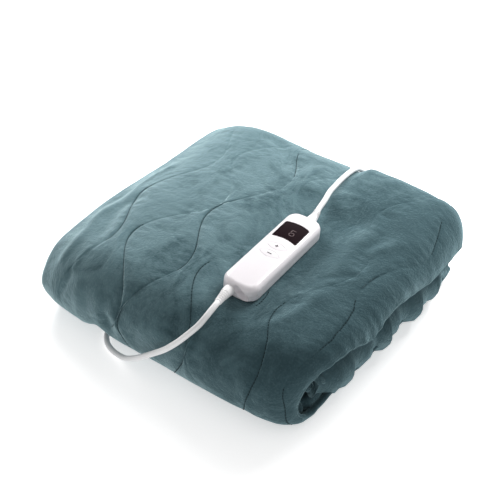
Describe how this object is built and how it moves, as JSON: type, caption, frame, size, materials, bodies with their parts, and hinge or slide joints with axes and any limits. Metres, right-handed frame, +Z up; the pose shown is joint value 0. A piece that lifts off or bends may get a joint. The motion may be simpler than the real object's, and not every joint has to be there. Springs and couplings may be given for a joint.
{
  "type": "electric heated blanket",
  "caption": "Electric heated throw of quilted teal flannel, folded into a soft square block, with its white hand control lying on top and its mains lead coiled behind.",
  "frame": {"origin": "middle of the folded blanket's bounding box, at its underside", "axes": "+Z up, -Y towards the rounded front edge of the fold, +X towards the hanging hem"},
  "size_m": [0.4232, 0.5104, 0.1307],
  "materials": {
    "flannel": "soft brushed pile",
    "housing_plastic": "glossy",
    "display_window": "glossy",
    "relief_rubber": "satin",
    "lead_sheath": "satin",
    "tie_band": "matt",
    "plug_plastic": "satin",
    "pin_metal": "polished nickel plate"
  },
  "bodies": {
    "root": {"blanket": "flannel", "blanket_gland": "relief_rubber", "control_base": "housing_plastic", "control_cover": "housing_plastic", "control_display": "display_window", "control_key_plus": "housing_plastic", "control_key_minus": "housing_plastic", "control_relief_lower": "relief_rubber", "control_relief_upper": "relief_rubber", "lead_to_blanket": "lead_sheath", "mains_lead": "lead_sheath", "mains_coil": "lead_sheath", "mains_tail": "lead_sheath", "coil_tie": "tie_band", "mains_plug": "plug_plastic", "plug_pin_left": "pin_metal", "plug_pin_right": "pin_metal"}
  },
  "joints": []
}
